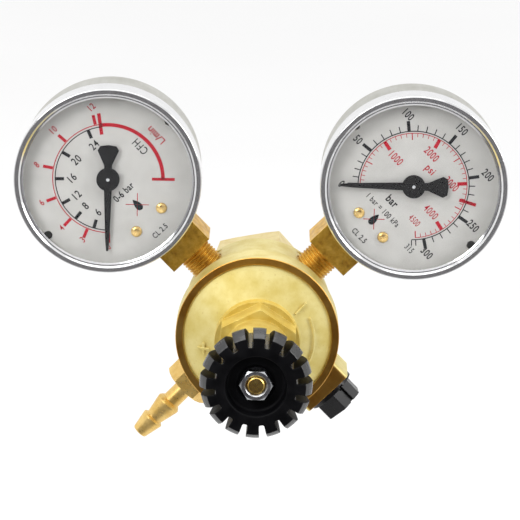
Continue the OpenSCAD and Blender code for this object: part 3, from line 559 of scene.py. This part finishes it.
class Print:
    """One colour of ink on one dial, or raised marks: a mesh in mm, X right, Y up, Z to the viewer."""

    def __init__(self, side, color):
        self.side, self.color = side, color
        self.low, self.high = INK_LIFT, INK_LIFT + INK_THICK
        self.mesh = bmesh.new()

    def ribbon(self, left, right):
        """A thin slab between two lines of points."""
        rows = []
        for line in (left, right):
            for z in (self.low, self.high):
                rows.append([self.mesh.verts.new((x, y, z)) for x, y in line])
        bottom_l, top_l, bottom_r, top_r = rows
        face = self.mesh.faces.new
        for i in range(len(left) - 1):
            face((top_l[i], top_l[i + 1], top_r[i + 1], top_r[i]))
            face((bottom_r[i], bottom_r[i + 1], bottom_l[i + 1], bottom_l[i]))
            face((bottom_l[i], bottom_l[i + 1], top_l[i + 1], top_l[i]))
            face((top_r[i], top_r[i + 1], bottom_r[i + 1], bottom_r[i]))
        face((top_l[0], top_r[0], bottom_r[0], bottom_l[0]))
        face((bottom_l[-1], bottom_r[-1], top_r[-1], top_l[-1]))

    def arc(self, radius, width, start, end):
        """Part of a circle, from one angle clockwise to another, in degrees."""
        steps = max(8, int(abs(start - end) / 2))
        angles = [math.radians(start + (end - start) * i / steps) for i in range(steps + 1)]
        lines = [[(r * math.cos(a), r * math.sin(a)) for a in angles]
                 for r in (radius - width / 2, radius + width / 2)]
        self.ribbon(*lines)

    def tick(self, angle, r_in, r_out, width):
        """A straight radial mark."""
        a = math.radians(angle)
        along, across = Vector((math.cos(a), math.sin(a))), Vector((-math.sin(a), math.cos(a)))
        lines = [[tuple(along * r + across * s * width / 2) for r in (r_in, r_out)] for s in (-1, 1)]
        self.ribbon(*lines)

    def line(self, start, end, width):
        """A straight mark between two points."""
        start, end = Vector(start), Vector(end)
        along = (end - start).normalized()
        across = Vector((-along.y, along.x)) * width / 2
        lines = [[tuple(point + side * across) for point in (start, end)] for side in (-1, 1)]
        self.ribbon(*lines)

    def letters(self, text, angle, radius, height, turn, squeeze=LETTER_SQUEEZE, bold=0.0):
        """Text centred at an angle and radius, turned as a whole."""
        curve = bpy.data.curves.new("letters", "FONT")
        curve.body = text
        curve.size = height / 0.7
        curve.align_x, curve.align_y = "CENTER", "CENTER"
        curve.extrude = INK_THICK / 2
        curve.offset = bold
        curve.space_character = LETTER_SPACING
        curve.resolution_u = 5
        text_object = bpy.data.objects.new("letters", curve)
        bpy.context.scene.collection.objects.link(text_object)
        graph = bpy.context.evaluated_depsgraph_get()
        mesh = bpy.data.meshes.new_from_object(text_object.evaluated_get(graph))
        a = math.radians(angle)
        at = Matrix.Translation((radius * math.cos(a), radius * math.sin(a), INK_LIFT + INK_THICK / 2))
        spin = Matrix.Rotation(math.radians(turn), 4, "Z")
        mesh.transform(at @ spin @ Matrix.Diagonal((squeeze, 1, 1, 1)))
        self.mesh.from_mesh(mesh)
        bpy.data.objects.remove(text_object)
        bpy.data.curves.remove(curve)
        bpy.data.meshes.remove(mesh)

    def strokes(self, lines, angle, radius, turn, width):
        """Straight marks drawn round a point at an angle and radius, turned as a whole."""
        a = math.radians(angle)
        at = Vector((radius * math.cos(a), radius * math.sin(a)))
        spin = Matrix.Rotation(math.radians(turn), 2)
        for start, end in lines:
            self.line(at + spin @ Vector(start), at + spin @ Vector(end), width)

    def to_piece(self, name, matrix, material):
        """The mesh as a piece that rides on the body."""
        bmesh.ops.remove_doubles(self.mesh, verts=self.mesh.verts, dist=0.0005)
        bmesh.ops.recalc_face_normals(self.mesh, faces=self.mesh.faces)
        data = bpy.data.meshes.new(name)
        self.mesh.to_mesh(data)
        self.mesh.free()
        data.transform(matrix)
        data.materials.append(material)
        piece = bpy.data.objects.new(name, data)
        bpy.context.scene.collection.objects.link(piece)
        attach(piece, "root")
        return piece

    def finish(self, material):
        """Turns the print into a piece on the dial."""
        name = f"{self.side}_dial_print_{self.color}"
        self.to_piece(name, dial_frame(self.side), material)


def dial_frame(side):
    """Matrix from mm on the dial, seen from the front, to the row frame."""
    centre = middle(side + "_bezel")
    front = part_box(side + "_dial")[0].y
    frame_axes = Matrix(((1, 0, 0, centre.x), (0, 0, -1, front), (0, 1, 0, centre.z), (0, 0, 0, 1)))
    return frame_axes @ Matrix.Diagonal((MM, MM, MM, 1))


def print_no_oil(black, red, angle, radius, turn, reach):
    """A drop with a thin upright cross over it."""
    a = math.radians(angle)
    x, y = radius * math.cos(a), radius * math.sin(a)
    red.line((x - reach, y), (x + reach, y), 0.2)
    red.line((x, y - reach), (x, y + reach), 0.2)
    spin = Matrix.Rotation(math.radians(turn), 2)
    steps, height, width = 16, 3.7, 1.25
    left, right = [], []
    for i in range(steps + 1):
        sweep = math.pi * i / steps
        half = width * math.sin(sweep) * math.sin(sweep / 2) + 0.01
        for line, sign in ((left, -1), (right, 1)):
            point = spin @ Vector((sign * half, height / 2 * math.cos(sweep)))
            line.append((x + point.x, y + point.y))
    black.ribbon(left, right)


# Strokes of the small red "L/min", letter by letter, in mm about its middle.
LITRES_A_MINUTE = (
    ((-2.7, 0.9), (-2.7, -0.9)), ((-2.7, -0.8), (-1.7, -0.8)), ((-1.5, -1.0), (-0.8, 1.0)),
    ((-0.5, 0.4), (-0.5, -0.9)), ((0.1, 0.4), (0.1, -0.9)), ((0.7, 0.4), (0.7, -0.9)),
    ((-0.5, 0.3), (0.7, 0.3)),
    ((1.25, 0.4), (1.25, -0.9)), ((1.25, 0.95), (1.25, 0.7)),
    ((1.8, 0.4), (1.8, -0.9)), ((2.6, 0.4), (2.6, -0.9)), ((1.8, 0.3), (2.6, 0.3)),
)


def print_flow_dial(black_ink, red_ink):
    """Flow scale: litres a minute in red outside, cubic feet an hour in black inside."""
    side, zero, up = "left", 270, 45
    black, red = Print(side, "black"), Print(side, "red")
    full = 171.2
    for text, sweep, radius in (("3", 21.3, 18.6), ("4", 41.4, 18.9), ("6", 68.2, 19.4), ("8", 99.7, 19.7),
                                ("10", 130.7, 19.9), ("12", 166.2, 20.1)):
        red.tick(zero - sweep, 15.3, 18.0, 0.85)
        red.letters(text, zero - sweep, radius, 1.8, up, bold=0.012 if "4" in text else 0.03)
    for text, sweep in (("6", 15.1), ("8", 37.6), ("12", 59.7), ("16", 88.4), ("20", 119.3), ("24", 157.1)):
        black.tick(zero - sweep, 12.0, 14.4, 0.9)
        black.letters(text, zero - sweep, 9.9, 2.15, up, bold=0.02 if "4" in text else 0.045)
    black.arc(14.42, 0.27, zero, zero - full)
    red.arc(15.12, 0.25, zero, zero - full)
    red.tick(zero + 1.5, 15.1, 18.0, 0.55)
    red.letters("0", zero + 1, 19.2, 1.6, up, bold=0.03)
    red.arc(14.9, 1.0, zero - full, 0.5)
    red.tick(zero - full, 12.3, 18.2, 0.95)
    red.tick(0.5, 11.9, 18.1, 0.8)
    red.strokes(LITRES_A_MINUTE, 44, 17.8, up + 90, 0.3)
    black.letters("CFH", 46.5, 12.6, 2.2, up + 90, squeeze=0.75, bold=0.02)
    black.letters("0-6 bar", -41.5, 5.7, 1.9, up, squeeze=0.74, bold=0.06)
    print_no_oil(black, red, -41.5, 10.7, up, 3.2)
    black.letters("CL 2.5", -45, 20.3, 1.5, up, bold=0.04)
    black.finish(black_ink)
    red.finish(red_ink)


# Pressure in bar and how far round from zero its mark is, in degrees.
PRESSURE_SWEEPS = ((0, 0), (50, 38.5), (100, 83.5), (150, 128), (200, 170.5), (250, 213.5), (300, 257.5),
                   (315, 270))
BAR_IN_PSI = 14.5038


def pressure_sweep(bar):
    """Angle from zero to a pressure, between the numbered marks of the uneven scale."""
    for (low, start), (high, end) in zip(PRESSURE_SWEEPS, PRESSURE_SWEEPS[1:]):
        if bar <= high:
            return start + (end - start) * (bar - low) / (high - low)
    return PRESSURE_SWEEPS[-1][1]


def print_pressure_dial(black_ink, red_ink):
    """Pressure scale: bar in black outside, psi in red inside."""
    side, zero, up = "right", 180, -45
    black, red = Print(side, "black"), Print(side, "red")
    black.arc(15.12, 0.28, zero, zero - 270)
    red.arc(14.55, 0.2, zero, zero - pressure_sweep(4500 / BAR_IN_PSI))
    for bar in (*range(0, 320, 10), 315):
        numbered = bar % 50 == 0
        black.tick(zero - pressure_sweep(bar), 15.1, 18.0 if numbered else 16.8, 0.9 if numbered else 0.27)
    for bar, radius in ((0, 19.7), (50, 19.9), (100, 19.8), (150, 20.2), (200, 20.3), (250, 19.8),
                        (300, 19.3)):
        black.letters(str(bar), zero - pressure_sweep(bar), radius, 2.1, up, squeeze=0.7, bold=0.055)
    black.letters("315", zero - 272, 17.7, 1.7, up, squeeze=0.68, bold=0.02)
    for psi in range(100, 4600, 100):
        angle = zero - pressure_sweep(psi / BAR_IN_PSI)
        if psi % 1000 == 0:
            red.tick(angle, 11.9, 14.6, 1.0)
        elif psi % 500 == 0:
            red.tick(angle, 12.7, 14.6, 0.28)
        else:
            red.tick(angle, 13.5, 14.6, 0.18)
    for psi, radius in ((1000, 9.2), (2000, 9.9), (3000, 10.2), (4000, 8.8)):
        angle = zero - pressure_sweep(psi / BAR_IN_PSI)
        red.letters(str(psi), angle, radius, 2.15, up, squeeze=0.66, bold=0.012 if psi == 4000 else 0.035)
    red.letters("4500", zero - 267, 9.8, 1.8, up, squeeze=0.62)
    red.letters("psi", 46, 6.3, 2.1, up, squeeze=0.8, bold=0.04)
    red.tick(zero - pressure_sweep(230), 13.1, 17.9, 0.9)
    black.letters("bar", 218, 7.3, 2.15, up, squeeze=0.8, bold=0.07)
    black.letters("1 bar = 100 kPa", 220.5, 10.8, 1.6, up, squeeze=0.74, bold=0.02)
    print_no_oil(black, red, 222.5, 14.2, up, 2.9)
    black.letters("CL 2.5", 225, 20.3, 1.5, up, bold=0.04)
    black.finish(black_ink)
    red.finish(red_ink)


# ---------------------------------------------------------------- raised marks on the bonnet

# Radius and height above the rim's face where the cone starts and ends, in mm.
CONE_OUTER = (19.9, 0.5)
CONE_INNER = (11.6, 2.8)
MARK_SUNK, MARK_HIGH = 0.1, 0.45


def cone_height(radius):
    """Height of the bonnet's cone above the rim's face at a radius, in mm."""
    (outer, low), (inner, high) = CONE_OUTER, CONE_INNER
    return low + (high - low) * (outer - radius) / (outer - inner)


def raise_marks(material):
    """A plus, a minus and a curved line between them, forged on the bonnet to show which way to turn."""
    marks = Print("", "")
    marks.low, marks.high = -MARK_SUNK, MARK_HIGH
    marks.line((-16.3, -2.9), (-12.9, -3.1), 0.75)
    marks.line((-14.6, -4.7), (-14.6, -1.3), 0.75)
    marks.line((10.3, 7.4), (13.2, 10.4), 0.6)
    marks.arc(15.6, 0.45, 24, -24)
    for vertex in marks.mesh.verts:
        vertex.co.z += cone_height(vertex.co.to_2d().length)
    at = Matrix(((1, 0, 0, 0), (0, 0, -1, RIM_FRONT), (0, 1, 0, 0), (0, 0, 0, 1)))
    piece = marks.to_piece("bonnet_turning_marks", at @ Matrix.Diagonal((MM, MM, MM, 1)), material)
    bevel = piece.modifiers.new("rounding", "BEVEL")
    bevel.width = 0.13 * MM
    bevel.segments = 2


# ---------------------------------------------------------------- scene

scene = bpy.context.scene
scene.view_settings.view_transform = "Standard"
make_camera()
make_world()
make_floor()
make_area_light("top_box", (0, -0.12, 0.75), (0, -0.04, 0.03), (0.7, 0.5), 1.6)
make_area_light("left_box", (-0.45, -0.6, 0.5), (0, -0.05, 0.02), (0.3, 0.5), 3)
make_area_light("right_box", (0.7, -0.35, 0.35), (0, -0.05, 0.02), (0.25, 0.5), 2.2)
paint_nodes()
raise_marks(NODES["bonnet"].data.materials[0])
inks = (ink("black_ink", (0.004, 0.004, 0.006), (0.01, 0.01, 0.014)),
        ink("red_ink", (0.38, 0.003, 0.014), (0.47, 0.005, 0.022)))
print_flow_dial(*inks)
print_pressure_dial(*inks)
